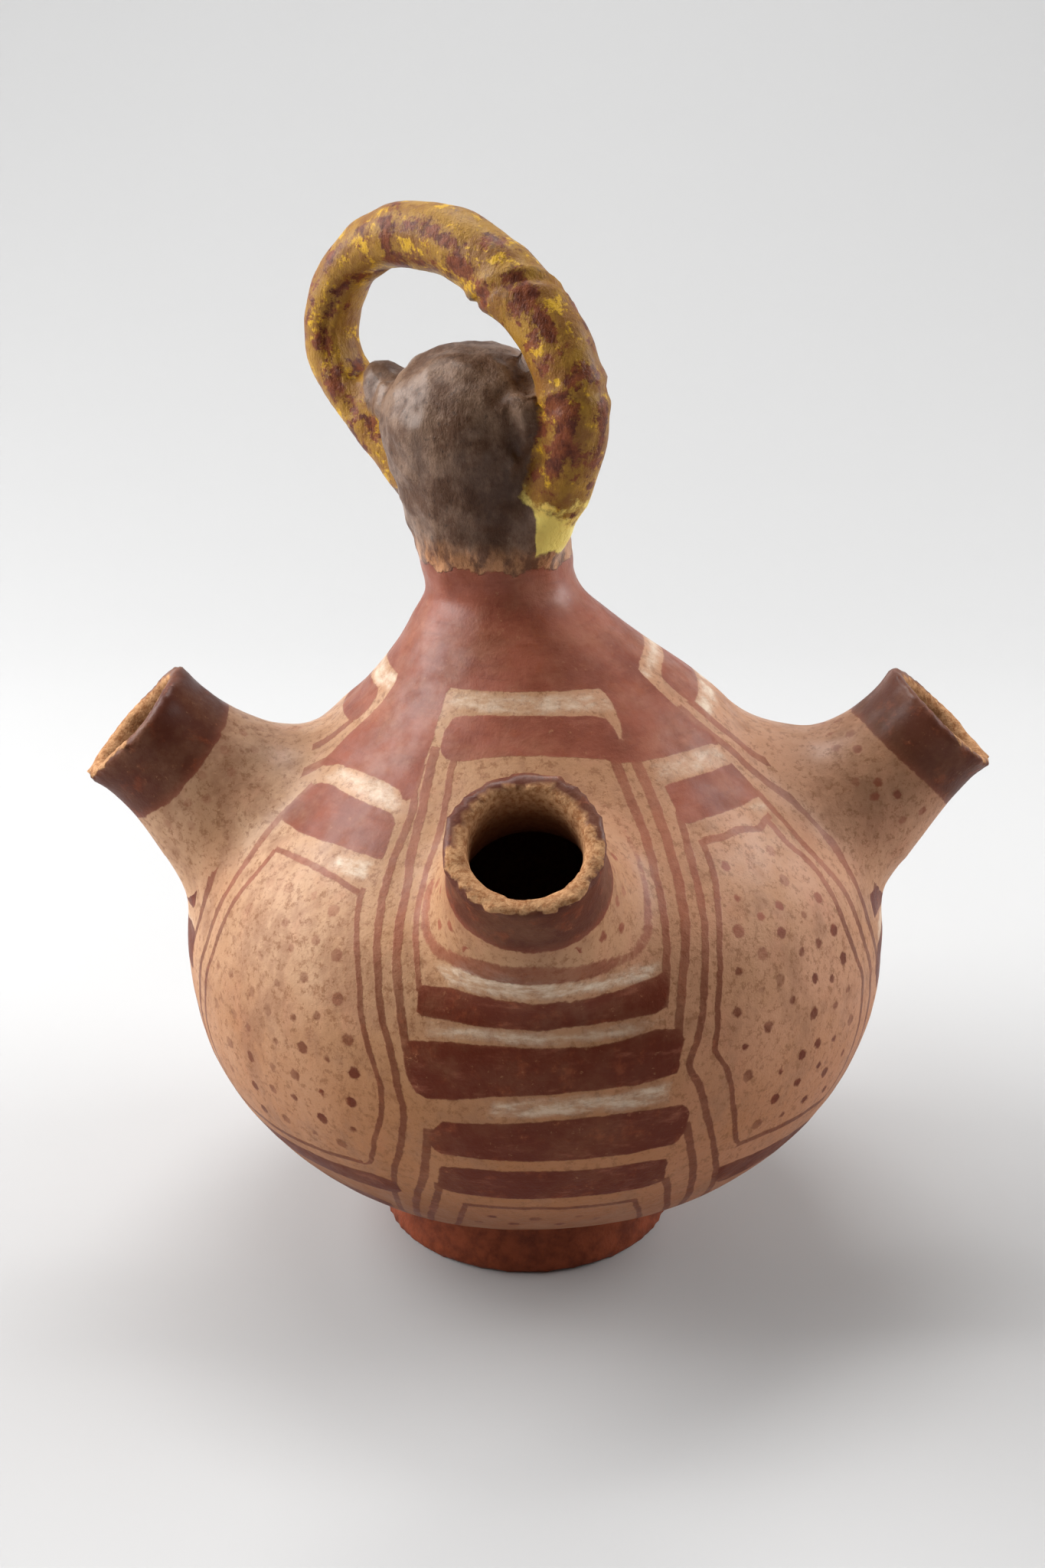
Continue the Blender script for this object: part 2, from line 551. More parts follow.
# Dots of the two dotted panels in view
DOTS = (
    (36.4, 136.8), (48.8, 136.5), (35.5, 128.8), (47.4, 129.0), (43.1, 124), (38.4, 123.2),
    (33.1, 121.5), (47.5, 119.7), (41.2, 118.1), (52.9, 121.6), (31.4, 112.8), (36.3, 115.1),
    (44.6, 112.1), (49.1, 112.1), (54.0, 112.8), (35.1, 107.0), (38.9, 107.9), (46.6, 104.7),
    (40.9, 102.4), (55.0, 105.2), (50.9, 102.4), (30.2, 103.8), (35.6, 98.3), (31.3, 95.0),
    (45.6, 96.6), (51.5, 95.3), (55.5, 97.3), (32.1, 87.4), (38.8, 85.5), (43.3, 87.2),
    (46.9, 88.1), (51.6, 86.4), (56.7, 88.3), (47.9, 81.8), (43.1, 79.8), (50.5, 77.9),
    (55.7, 79.8), (38.4, 77.9), (46.6, 72.4), (53, 71), (36, 71.5), (41.5, 71),
    (-50.8, 126.5), (-46.1, 127.4), (-39.9, 127.9), (-34.7, 126.0), (-43.0, 119.7),
    (-35.9, 118.4), (-31.5, 116.5), (-40.3, 114.9), (-46.3, 110.7), (-36.6, 109.5),
    (-41.7, 106.1), (-30.0, 107.0), (-33.2, 101.9), (-47.1, 101.2), (-43.0, 99.0),
    (-37.6, 99.6), (-27.7, 98.4), (-53.1, 102.4), (-57.5, 101.8), (-35.9, 93.0),
    (-31.3, 92.4), (-51.8, 93.0), (-57.5, 92.2), (-41.4, 91.8), (-26.8, 90.4), (-47.9, 91.8),
    (-42.6, 84.4), (-37.9, 85.0), (-32.8, 82.7), (-27.7, 82.5), (-43.8, 77.4), (-39.0, 78.1),
    (-33.8, 74.7), (-28.3, 74.0), (-49.0, 75), (-42.9, 68.6), (-36.8, 68.2), (-31.5, 67.7),
    (-11, 37.5), (-8, 44), (0, 43.5), (8, 44), (-4, 38), (5, 37.5), (12, 40),
    (-54, 84), (-56, 75), (-49, 67.5), (-52.5, 119), (-54, 110.5), (-48, 84),
)
# Maroon left on the strap: run along it and turn round it, with half the length and breadth
MAROON = (
    (117, 200, 1.5, 6.5), (111, 160, 6.0, 2.0), (101.5, 163, 4.5, 1.8), (104, 226, 10, 1.6),
    (92, 192, 5.5, 2.6), (89, 117, 2.4, 3.6), (83.5, 205, 2.6, 4.5), (79.0, 150, 2.2, 3.0),
    (74.5, 160, 3.0, 4.0), (68.4, 149, 4.0, 2.2), (64, 152, 3.0, 1.7), (61, 137, 1.4, 1.4),
    (59, 192, 2.4, 2.0), (54.6, 120, 2.2, 5.0), (48.4, 182, 3.6, 4.4), (40.6, 168, 5.0, 3.6),
    (35.6, 172, 3.2, 2.6), (44.5, 90, 6.0, 1.6), (38.6, 140, 3.4, 2.0), (124, 165, 1.4, 2.2),
    (135.6, 170, 3.4, 1.4), (158.5, 200, 3.4, 1.6), (171, 190, 4.0, 1.6), (186, 150, 4.0, 2.0),
    (30.5, 205, 2.6, 1.6), (100, 60, 4.0, 3.0), (122, 40, 2.4, 5.0), (146, 80, 5.0, 2.4),
    (84, 30, 3.0, 5.0), (66, 60, 5.0, 2.0), (50, 30, 3.0, 5.0), (165, 60, 3.0, 4.0),
)
# The crease beside the flat inner side of the far leg
CREASE = ((127, 282), (131, 250), (137, 229), (145, 219), (153, 214), (168, 210), (180, 197))
# Smoke and wear on the head: place, how far it spreads across and up, strength
SMOKE = (
    ((-8.0, -21.0, 200.0), 8.5, 12.0, 1.0), ((-2.5, -21.0, 210.0), 4.5, 5.5, 0.9),
    ((-15.0, -22.0, 207.0), 3.0, 9.0, 0.7), ((-25.5, -16.5, 210.0), 2.2, 9.0, 0.8),
    ((-10.0, -20.0, 190.0), 8.0, 4.0, 0.6), ((-20.0, -19.0, 198.0), 3.0, 8.0, 0.45),
    ((-13.0, -19.0, 183.4), 5.0, 1.2, 0.7), ((1.5, -21.5, 216.0), 3.0, 4.0, 0.55),
    ((2.5, -20.5, 208.0), 3.4, 2.0, 1.3), ((-1.0, -20.5, 197.0), 3.0, 9.0, 0.9),
    ((-34.0, 12.0, 226.0), 4.0, 2.0, 0.9),
)


def shape_gap(x, y, points, open_line=False):
    """Distance in millimetres to a shape's edge, negative inside it."""
    gap = np.full(x.shape, 1e9)
    inside = np.zeros(x.shape, bool)
    pairs = zip(points, points[1:]) if open_line else zip(points, points[1:] + points[:1])
    for (ax, ay), (bx, by) in pairs:
        dx, dy = bx - ax, by - ay
        t = np.clip(((x - ax) * dx + (y - ay) * dy) / max(dx * dx + dy * dy, 1e-9), 0.0, 1.0)
        gap = np.minimum(gap, np.hypot(x - ax - t * dx, y - ay - t * dy))
        crossing = (ay > y) != (by > y)
        if crossing.any():
            at = ax + (y - ay) * dx / (dy if dy else 1e-9)
            inside ^= crossing & (x < at)
    return gap if open_line else np.where(inside, -gap, gap)


def panel_gap(azimuth, run, radius, points):
    """The same for a shape given in degrees and run, laid flat about its own middle."""
    middle = sum(p[0] for p in points) / len(points)
    line, length = profile()
    flat = [
        (math.radians(a - middle) * float(np.interp(s, length, line[:, 0])), float(s))
        for a, s in points
    ]
    return shape_gap(np.radians(azimuth - middle) * radius, run, flat)


def line_gap(points, line):
    """Distance in space from every point to a line of places."""
    gap = np.full(len(points), 1e9)
    for a, b in zip(line, line[1:]):
        a, b = np.array(a), np.array(b)
        t = np.clip((points - a) @ (b - a) / ((b - a) @ (b - a)), 0.0, 1.0)
        gap = np.minimum(gap, np.linalg.norm(points - a - t[:, None] * (b - a), axis=1))
    return gap


def set_data(obj, name, values):
    layer = obj.data.attributes.new(name, "FLOAT", "POINT")
    layer.data.foreach_set("value", np.asarray(values, np.float32))


def grain(points, size, seed=0.0):
    """Smooth noise at the points, about -1 to 1, with features of about size millimetres."""
    scale = 1.0 / size
    return np.array([
        noise.noise((p[0] * scale + seed, p[1] * scale - seed, p[2] * scale + 2.0 * seed))
        for p in points
    ])


# The clay skin
vessel = welded_copy("vessel")
remeshed(vessel, VOXEL * MM)
skin = Skin(vessel)

inside = (skin.out < INNER_FACE) & (skin.s > 2.0) & (skin.s < 150.0)
for along, off, radius, turn, offset, gap in skin.spouts:
    inside &= ~((off < radius) & (along < 46.0) & (skin.out > -9.0))
thin = vessel.vertex_groups.new(name="hidden")
thin.add([int(i) for i in np.flatnonzero(inside)], 1.0, "REPLACE")
step = vessel.modifiers.new("fewer", "DECIMATE")
step.ratio = min(1.0, FINISHED_POINTS / len(skin.co))
step.vertex_group = "hidden"
step.vertex_group_factor = 10.0
applied(vessel)
skin = Skin(vessel)

# Round the facets off: the turned body and the tubes go back to their true circles
outer = (np.abs(skin.out) < 1.6) & (skin.s > 4.0) & (skin.s < 205.0)
body_share = ramp(np.abs(skin.out), 1.3, 0.7) * outer
skin.co -= skin.facing * (skin.out * body_share)[:, None]
for along, off, radius, turn, offset, gap in skin.spouts:
    for wall in (0.0, SPOUT_WALL):
        miss = off - (radius - wall)
        share = ramp(np.abs(miss), 1.2, 0.8) * ramp(along, 1.5, 3.0) * ramp(along, 40.0, 34.0)
        share *= (skin.out > 1.0) if wall == 0.0 else (skin.out > -4.0)
        skin.co -= offset / np.maximum(off, 1e-6)[:, None] * (miss * share)[:, None]
skin.locate()
lip = np.full(len(skin.co), 99.0)
for along, off, radius, turn, offset, gap in skin.spouts:
    lip = np.minimum(lip, np.where(off < radius + 3.0, np.abs(along), 99.0))
weight = 0.5 + 0.5 * ramp(lip, 1.0, 5.0)
weight *= 0.3 + 0.7 * ramp(skin.co[:, 2], 2.0, 8.0)
skin.smooth(weight, 12)
crease = np.zeros(len(skin.co))
for along, off, radius, turn, offset, gap in skin.spouts:
    crease = np.maximum(crease, ramp(off, radius + 7.0, radius + 2.0) * ramp(along, 20.0, 30.0))
crease *= (skin.out > -2.0) & (skin.out < 9.0)
skin.smooth(crease * weight, 40, back=0.0)
skin.locate()
even = np.minimum(skin.strap_gap, 10.0)
for _ in range(30):
    even = skin.around(even)
share = ramp(skin.strap_gap, 11.5, 10.0) * ramp(skin.strap_t, 32.0, 42.0)
share *= ramp(skin.strap_t, 172.0, 162.0)
skin.co += skin.strap_offset * ((even / skin.strap_gap - 1.0) * share)[:, None]
skin.locate()

# Hand-made unevenness
facing = skin.normals()
low = 0.42 * grain(skin.co, 34.0) + 0.16 * grain(skin.co, 13.0, 3.0)
fine = 0.10 * grain(skin.co, 5.5, 7.0)
head = ramp(skin.s, 212.0, 222.0) * ramp(np.abs(skin.out), 14.0, 10.0)
head *= ramp(skin.strap_gap, 9.0, 12.0)
lumps = 0.7 * grain(skin.co * (1.0, 1.0, 0.7), 8.0, 1.0) + 0.7 * grain(skin.co, 4.2, 5.0)
move = low + fine + head * lumps + 0.5 * ramp(skin.strap_gap, 12.0, 9.5) * grain(skin.co, 7.0, 1.0)
move *= ramp(skin.co[:, 2], 0.6, 3.0)
rough = 0.6 * grain(skin.co, 9.0, 9.0) + 0.05 * grain(skin.co, 3.0, 2.0)
chips = np.maximum(grain(skin.co, 11.0, 4.0) - 0.12, 0.0) + 0.1 * np.maximum(
    grain(skin.co, 4.0, 6.0), 0.0
)
shift = facing * move[:, None]
for row, (along, off, radius, turn, offset, gap) in zip(SPOUTS, skin.spouts):
    rim = ramp(np.abs(along), 4.0, 1.0) * (gap < radius + 2.5)
    shift += facing * (rim * rough * 0.25)[:, None]
    shift -= np.array(spout_path(*row[:5])[1]) * (rim * chips * 0.9)[:, None]
skin.co += shift

# The strap's two raised rings, the folds of the near ear, the creases beside them, and the
# far ear pressed lower
turn = np.mod(skin.strap_turn, 360.0)
band = ramp(skin.strap_gap, 12.5, 10.0) * (skin.strap_t > 30.0)
facing = skin.normals()
lift = np.zeros(len(skin.co))
for start, tilt in ((75.5, 0.078), (50.6, -0.012)):
    away = skin.strap_t - start - tilt * (np.where(turn < 300.0, turn, turn - 360.0) - 103.0)
    lift += band * (
        0.7 * np.exp(-((away - 2.2) / 1.7) ** 2) + 0.45 * np.exp(-((away + 2.2) / 1.8) ** 2)
        - 0.75 * np.exp(-(away / 1.3) ** 2)
    )
arc = np.radians(turn) * STRAP_ARC
crease = shape_gap(
    skin.strap_t, arc, [(t, math.radians(a) * STRAP_ARC) for t, a in CREASE], open_line=True
)
crease = np.where(skin.strap_gap < 12.0, crease, 99.0)
lift -= 0.9 * np.exp(-(crease / 1.1) ** 2)
fold = line_gap(skin.co, ((-1.5, -18.5, 223.6), (-5.0, -19.9, 221.8), (-6.9, -20.6, 218.5),
                          (-7.0, -21.4, 214.0), (-5.8, -21.6, 210.6), (-3.4, -21.0, 208.2)))
lift += 1.0 * np.exp(-(fold / 1.0) ** 2)
hollow_ear = np.linalg.norm((skin.co - (-2.6, -21.5, 215.5)) / (2.6, 6.0, 4.6), axis=1)
lift -= 1.0 * ramp(hollow_ear, 1.2, 0.3)
notch = line_gap(skin.co, ((-1.5, -21.5, 207.6), (1.5, -21.5, 209.2), (5.5, -21.5, 208.8)))
lift -= 1.3 * np.exp(-(notch / 1.1) ** 2)
ring = np.linalg.norm(skin.co - (-6.0, -10.6, 230.2), axis=1)
lift += 0.35 * np.exp(-((ring - 3.0) / 0.7) ** 2)
skin.co += facing * lift[:, None]
far_ear = np.linalg.norm((skin.co - (-34.5, 13.0, 228.0)) / (8.0, 8.0, 7.0), axis=1)
skin.co[:, 2] -= 2.4 * ramp(far_ear, 1.0, 0.2)
skin.locate()
skin.store()

# Where each painted thing lies
mirrored = np.where(np.abs(skin.az) > 90.0, np.sign(skin.az) * (180.0 - np.abs(skin.az)), skin.az)
blocks = np.full(len(skin.co), 99.0)
for points in BLOCKS:
    blocks = np.minimum(blocks, panel_gap(mirrored, skin.s, skin.r, points))
for middle in (88.5, -91.0):
    for points in BLOCKS[1:5]:
        if middle > 0:
            moved = [(min(a, 8.0) + middle, s - 1.5) for a, s in points]
        else:
            moved = [(max(a, -8.0) + middle, s) for a, s in points]
        blocks = np.minimum(blocks, panel_gap(mirrored, skin.s, skin.r, moved))
cap = np.interp(mirrored, [p[0] for p in CAP], [p[1] for p in CAP]) - skin.s
blocks = np.minimum(blocks, cap)
pale = np.full(len(skin.co), 99.0)
pale_share = np.zeros(len(skin.co))
for points, share in PALES:
    gap = panel_gap(mirrored, skin.s, skin.r, points)
    pale_share = np.where(gap < pale, share, pale_share)
    pale = np.minimum(pale, gap)
dots = np.full(len(skin.co), 9.0)
line, length = profile()
for n, (azimuth, run) in enumerate(DOTS):
    radius = float(np.interp(run, length, line[:, 0]))
    gap = np.hypot(np.radians(mirrored - azimuth) * radius, skin.s - run)
    dots = np.minimum(dots, gap - (DOT_RADIUS + 0.3 * math.sin(n * 2.4)))
set_data(vessel, "dots", dots)
maroon = np.full(len(skin.co), 9.0)
turn = np.mod(skin.strap_turn, 360.0)
for t, a, half, breadth in MAROON:
    away = np.radians(np.mod(turn - a + 180.0, 360.0) - 180.0) * STRAP_ARC
    share = np.hypot((skin.strap_t - t) / half, away / breadth)
    maroon = np.minimum(maroon, (share - 1.0) * min(half, breadth))
crease = shape_gap(
    skin.strap_t, np.radians(turn) * STRAP_ARC,
    [(t, math.radians(a) * STRAP_ARC) for t, a in CREASE], open_line=True,
)
set_data(vessel, "maroon", np.minimum(maroon, crease - 1.0))
smoke = np.zeros(len(skin.co))
for place, across, up, share in SMOKE:
    flat = np.hypot(skin.co[:, 0] - place[0], 0.6 * (skin.co[:, 1] - place[1])) / across
    smoke = np.maximum(smoke, share * np.exp(-(flat**2) - ((skin.co[:, 2] - place[2]) / up) ** 2))
set_data(vessel, "smoke", smoke)
set_data(vessel, "height", skin.co[:, 2])
cloud = np.zeros(len(skin.co))
for place, across, up, share in (
    ((-80.0, -12.0, 127.0), 13.0, 12.0, 0.8), ((-92.0, -14.0, 136.0), 9.0, 9.0, 0.55),
    ((-64.0, -20.0, 138.0), 12.0, 8.0, 0.45), ((-30.0, -58.0, 128.0), 8.0, 12.0, 0.25),
    ((84.0, -10.0, 132.0), 18.0, 15.0, 0.6), ((64.0, -30.0, 122.0), 12.0, 14.0, 0.3),
):
    flat = np.hypot(skin.co[:, 0] - place[0], skin.co[:, 1] - place[1]) / across
    cloud = np.maximum(cloud, share * np.exp(-(flat**2) - ((skin.co[:, 2] - place[2]) / up) ** 2))
set_data(vessel, "cloud", cloud)
bore = np.full(len(skin.co), 99.0)
band = np.full(len(skin.co), 99.0)
lip = np.full(len(skin.co), 99.0)
closest = np.full(len(skin.co), 1e9)
for along, off, radius, turn, offset, gap in skin.spouts:
    here = (gap < closest) & (gap < radius + 12.0)
    closest = np.where(here, gap, closest)
    tube = (gap < radius + 4.0) & (skin.out > 1.2)
    band = np.where(here & tube, along - 15.5 - 2.0 * np.sin(np.radians(turn)), band)
    painted_edge = ramp(np.cos(np.radians(turn)), -0.1, 0.5) * ramp(off, radius - 4.0, radius - 2.6)
    inner = off - (radius - 0.55 * SPOUT_WALL) + 5.0 * painted_edge * ramp(np.abs(along), 3.5, 1.5)
    bore = np.where(here & (along < 38.0) & (gap < radius), inner, bore)
    lip = np.where(here & tube, along + 3.0 * painted_edge, lip)
rings = np.full(len(skin.co), 9.0)
skirt = np.full(len(skin.co), 9.0)
for row, (along, off, radius, turn, offset, gap) in zip(SPOUTS, skin.spouts):
    on_face = row in (SPOUTS[0], SPOUTS[2])
    relative = np.mod(skin.az - row[0] + 180.0, 360.0) - 180.0
    here = (np.abs(relative) < 32.0) & (skin.s > 100.0) & (skin.s < 175.0) & (skin.out > -2.0)
    here &= on_face
    flat = [(math.radians(a) * RING_ARC, s) for a, s in RING]
    gap_to = shape_gap(np.radians(relative) * RING_ARC, skin.s, flat, open_line=True) - 0.75
    rings = np.where(here, np.minimum(rings, gap_to), rings)
    for k in range(15):
        for along0, start in ((20.0, 0.0), (24.5, 11.0)):
            a = math.radians(24.0 * k + start + 7.0 * math.sin(k * 3.1))
            spot = np.mod(np.radians(turn) - a + math.pi, 2 * math.pi) - math.pi
            away = np.hypot(spot * radius, along - along0 - 1.2 * math.sin(k * 1.7))
            away = np.where((gap < radius + 4.0) & (skin.s > 120.5), away - 1.1, 9.0)
            skirt = np.minimum(skirt, np.where(skin.out > 0.5, away, 9.0))
rings = skin.around(skin.around(np.minimum(rings, 3.0))) - 0.56
set_data(vessel, "rings", rings)
set_data(vessel, "skirt_dots", skirt)
hollow = np.where(bore < 0.0, 1.0, 0.0)
hollow = np.maximum(hollow, (skin.out < INNER_FACE) * (skin.s > 2.0) * (skin.s < 240.0))
set_data(vessel, "azimuth", mirrored)
set_data(vessel, "run", skin.s)
set_data(vessel, "radius", skin.r)
set_data(vessel, "blocks", blocks)
set_data(vessel, "pale", np.where(pale < 6.0, pale, 6.0))
set_data(vessel, "pale_share", pale_share)
set_data(vessel, "band", np.minimum(band, 20.0))
set_data(vessel, "lip", np.minimum(lip, 20.0))
set_data(vessel, "hollow", hollow)
on_tube = np.zeros(len(skin.co))
for row, (along, off, radius, turn, offset, gap) in zip(SPOUTS, skin.spouts):
    near = ramp(gap, radius + 6.0, radius + 3.0) * ramp(along, 27.0, 21.0)
    near *= ramp(skin.out, 2.0, 5.0)
    if row in (SPOUTS[1], SPOUTS[3]):
        near = ramp(gap, radius + 16.0, radius + 10.0) * ramp(skin.out, 0.9, 1.8)
    on_tube = np.maximum(on_tube, near)
set_data(vessel, "tube", on_tube)
strap = skin.strap_gap - 9.2
strap += 8.0 * ramp(skin.co[:, 2], 200.0, 193.0) * ramp(skin.co[:, 0], 2.6, -0.6)
set_data(vessel, "strap", np.clip(strap, -10.0, 20.0))
set_data(vessel, "strap_run", skin.strap_t)

clay = bpy.data.materials.new("painted_clay")
clay.use_nodes = True
g = Graph(clay)
shader = g.nodes["Principled BSDF"]
where = g.nodes.new("ShaderNodeTexCoord")
g.place = where.outputs["Object"]

wide = g.sub(g.noise(30.0, 1.0), 0.5)
wide2 = g.sub(g.noise(34.0, 1.0, place=g.place, stretch=(1.0, 1.0, -1.0)), 0.5)
wob = g.sub(g.noise(5.0, 2.0), 0.5)
wob2 = g.sub(g.noise(4.4, 2.0, stretch=(-1.0, 1.0, 1.0)), 0.5)
brush = g.sub(g.noise(1.1, 3.0, 0.65), 0.5)
radius = g.data("radius")
azimuth = g.data("azimuth")
run = g.add(g.data("run"), g.add(g.mul(wob, 0.9), g.mul(wide, 1.2)))
side = g.add(g.mul(wob2, 1.0), g.mul(wide2, 1.4))
degrees = g.math("DIVIDE", DEGREES_TO_ARC, g.most(radius, 8.0))
azimuth = g.add(azimuth, g.mul(side, degrees))

lines = []
for points, top, bottom in UPRIGHTS:
    runs_of = [p[1] for p in points]
    centre = g.curve(run, [(s, a) for a, s in points], *RUN_RANGE, *AXIS_RANGE)
    gap = g.math("ABSOLUTE", g.math("DIVIDE", g.sub(azimuth, centre), degrees))
    half = g.step(run, min(runs_of), max(runs_of), bottom, top)
    ends = g.most(g.sub(run, max(runs_of)), g.sub(min(runs_of), run))
    lines.append(g.most(g.sub(gap, half), ends))
for points, half in ROUNDS:
    centre = g.curve(azimuth, points, *AXIS_RANGE, *RUN_RANGE)
    gap = g.math("ABSOLUTE", g.sub(run, centre))
    azimuths = [p[0] for p in points]
    ends = g.most(g.sub(azimuth, max(azimuths)), g.sub(min(azimuths), azimuth))
    lines.append(g.most(g.sub(gap, half), ends))
lines = g.least(*lines)

fades = g.sub(g.mul(g.data("tube"), 8.0), 4.0)
blocks_gap = g.add(g.data("blocks"), g.add(g.mul(wob, 0.5), g.mul(wide, 0.6)))
band_gap = g.add(g.data("band"), g.mul(wob, 1.2))
red_gap = g.least(g.most(g.least(lines, blocks_gap), fades), band_gap, g.data("rings"))
edge = g.add(g.mul(brush, 0.7), g.mul(wob, 0.2))
red = g.step(g.add(red_gap, edge), -0.2, 0.22, 1.0, 0.0)
small = g.add(g.least(g.data("dots"), g.data("skirt_dots")), g.mul(brush, 0.8))
faint = g.step(g.noise(18.0, 2.0), 0.3, 0.62, 0.45, 1.0)
faint = g.mul(faint, g.step(g.sub(g.data("azimuth"), g.mul(g.data("run"), 0.6)), -125.0, -80.0, 0.35, 1.0))
dotted = g.mul(g.step(small, -0.1, 0.5, 1.0, 0.0), faint)
thin = g.step(g.least(blocks_gap, band_gap), 0.6, -0.6, 0.78, 1.0)
wash = g.mul(thin, g.step(g.noise(13.0, 4.0, 0.65), 0.28, 0.6, 0.8, 1.0))

# Cream slip, dirtier low down, with brush streaks and a bloom of smoke
soft = g.noise(26.0, 4.0, 0.6)
ground = g.mix(g.step(soft, 0.3, 0.7), colour(212, 174, 140), colour(188, 144, 108))
middle = g.step(g.math("ABSOLUTE", g.data("azimuth")), 40.0, 24.0, 0.0, 0.5)
ground = g.mix(middle, ground, colour(166, 120, 76))
ground = g.over(ground, (162, 112, 78), g.noise(4.0, 4.0, 0.65), 0.45, 0.8, 0.4)
ground = g.over(
    ground, (200, 140, 112), g.noise(9.0, 3.0, 0.6, stretch=(1.0, 1.0, 0.35)), 0.5, 0.75, 0.35,
)
ground = g.over(ground, (168, 102, 54), g.data("run"), 118.0, 66.0, 0.6)
ground = g.over(ground, (120, 66, 32), g.data("run"), 66.0, 34.0, 0.8)
ground = g.over(ground, (176, 120, 82), g.data("lip"), 19.5, 12.0, 0.5)
pinker = g.mul(g.step(g.data("azimuth"), -15.0, 40.0, 0.15, 0.6), g.step(soft, 0.7, 0.35, 0.5, 1.0))
ground = g.mix(pinker, ground, colour(190, 128, 98))
smudge = g.noise(14.0, 4.0, 0.7, stretch=(1.0, 1.0, 0.7))
ground = g.over(ground, (158, 112, 84), smudge, 0.48, 0.66, 0.6)
ground = g.over(ground, (138, 90, 58), g.noise(2.0, 4.0, 0.8), 0.5, 0.64, 0.6)
pale_edge = g.add(g.data("pale"), g.add(g.mul(wob, 2.4), g.mul(brush, 1.6)))
streaks = g.noise(3.2, 4.0, 0.7, stretch=(0.45, 0.45, 1.3))
pale_mask = g.mul(
    g.step(pale_edge, -1.6, 0.9, 1.0, 0.0),
    g.mul(g.data("pale_share"), g.step(streaks, 0.34, 0.66, 0.15, 1.0)),
)
ground = g.mix(pale_mask, ground, colour(233, 212, 188))

# Red slip, thick and thin, worn to the ground in specks
thick = g.noise(16.0, 4.0, 0.6)
paint = g.mix(g.step(thick, 0.3, 0.7), colour(158, 88, 66), colour(128, 64, 44))
paint = g.over(
    paint, (120, 58, 40), g.noise(3.0, 4.0, 0.6, stretch=(0.25, 0.25, 2.4)), 0.5, 0.72, 0.4,
)
paint = g.over(paint, (94, 32, 8), g.data("run"), 128.0, 106.0, 0.9)
paint = g.over(
    paint, (170, 102, 78), g.noise(5.0, 4.0, 0.7, stretch=(0.5, 0.5, 1.6)), 0.52, 0.78, 0.5,
)
paint = g.mix(g.mul(g.step(g.data("band"), 2.0, -3.0), 0.85), paint, colour(80, 36, 20))
worn = g.step(g.noise(1.5, 4.0, 0.75), 0.6, 0.72, 0.0, 0.6)
patches = g.noise(11.0, 4.0, 0.65)
paint = g.mix(g.mul(worn, g.step(patches, 0.42, 0.6)), paint, colour(180, 128, 92))
paint = g.over(paint, (148, 72, 42), g.noise(6.0, 4.0, 0.72), 0.54, 0.7, 0.45)
pits = g.step(g.noise(1.3, 3.0, 0.6), 0.76, 0.8, 0.0, 0.8)
ground = g.mix(pits, ground, colour(84, 52, 34))
base = g.mix(g.math("MAXIMUM", g.mul(red, wash), g.mul(dotted, 0.95)), ground, paint)
cloud = g.mul(g.data("cloud"), g.step(g.noise(7.0, 4.0, 0.65), 0.3, 0.65, 0.35, 1.0))
base = g.mix(cloud, base, colour(112, 82, 58))

# Foot: red-brown, rubbed
foot = g.step(g.add(g.data("height"), g.mul(wob, 2.0)), 14.6, 16.0, 1.0, 0.0)
foot_red = g.mix(g.step(g.noise(6.0, 4.0, 0.65), 0.35, 0.7), colour(146, 72, 44), colour(106, 48, 28))
base = g.mix(foot, base, foot_red)

# Head: grey-brown, smoked; the nape ends in a ragged paler edge over the red neck
height = g.data("height")
ragged = g.add(height, g.add(g.mul(wob, 5.0), g.add(g.mul(wide, 5.0), g.mul(brush, 1.6))))
is_head = g.step(ragged, 181.6, 182.2)
mottle = g.noise(7.0, 4.0, 0.65)
fleck = g.noise(1.7, 4.0, 0.7)
tall = g.noise(4.0, 4.0, 0.65, stretch=(1.0, 1.0, 0.6))
skin_tone = g.mix(g.step(mottle, 0.35, 0.62), colour(136, 106, 84), colour(94, 64, 44))
skin_tone = g.over(skin_tone, (58, 40, 28), fleck, 0.55, 0.68, 0.6)
skin_tone = g.over(skin_tone, (158, 130, 108), fleck, 0.42, 0.32, 0.3)
nape = g.mix(g.step(tall, 0.4, 0.6), colour(206, 148, 102), colour(116, 72, 46))
skin_tone = g.mix(g.step(ragged, 190.0, 183.0, 0.0, 0.85), skin_tone, nape)
smoke = g.mul(g.data("smoke"), g.step(tall, 0.3, 0.55, 0.55, 1.15))
skin_tone = g.mix(g.math("MINIMUM", smoke, 0.93), skin_tone, colour(74, 46, 28))
base = g.mix(is_head, base, skin_tone)

# Strap: yellow ochre over maroon
patchy = g.noise(5.0, 5.0, 0.75)
veins = g.noise(9.0, 4.0, 0.7, stretch=(1.0, 1.0, 1.3))
ochre = g.mix(g.step(g.noise(8.0, 4.0, 0.65), 0.4, 0.6), colour(168, 124, 48), colour(140, 94, 42))
ochre = g.over(ochre, (218, 170, 42), g.noise(6.0, 4.0, 0.72), 0.54, 0.63, 0.9)
ochre = g.over(ochre, (104, 58, 30), g.noise(2.2, 4.0, 0.75), 0.56, 0.72, 0.7)
near_maroon = g.add(g.data("maroon"), g.add(g.mul(g.sub(patchy, 0.5), 13.0), g.mul(brush, 2.2)))
near_maroon = g.least(near_maroon, g.mul(g.sub(0.59, veins), 22.0))
worn_maroon = g.mix(g.step(g.noise(3.0, 4.0, 0.7), 0.35, 0.62), colour(84, 34, 24), colour(130, 66, 40))
ochre = g.mix(g.step(near_maroon, -0.8, 0.8, 0.95, 0.0), ochre, worn_maroon)
column = g.mix(g.step(mottle, 0.45, 0.75, 0.0, 0.4), colour(255, 232, 124), colour(236, 176, 76))
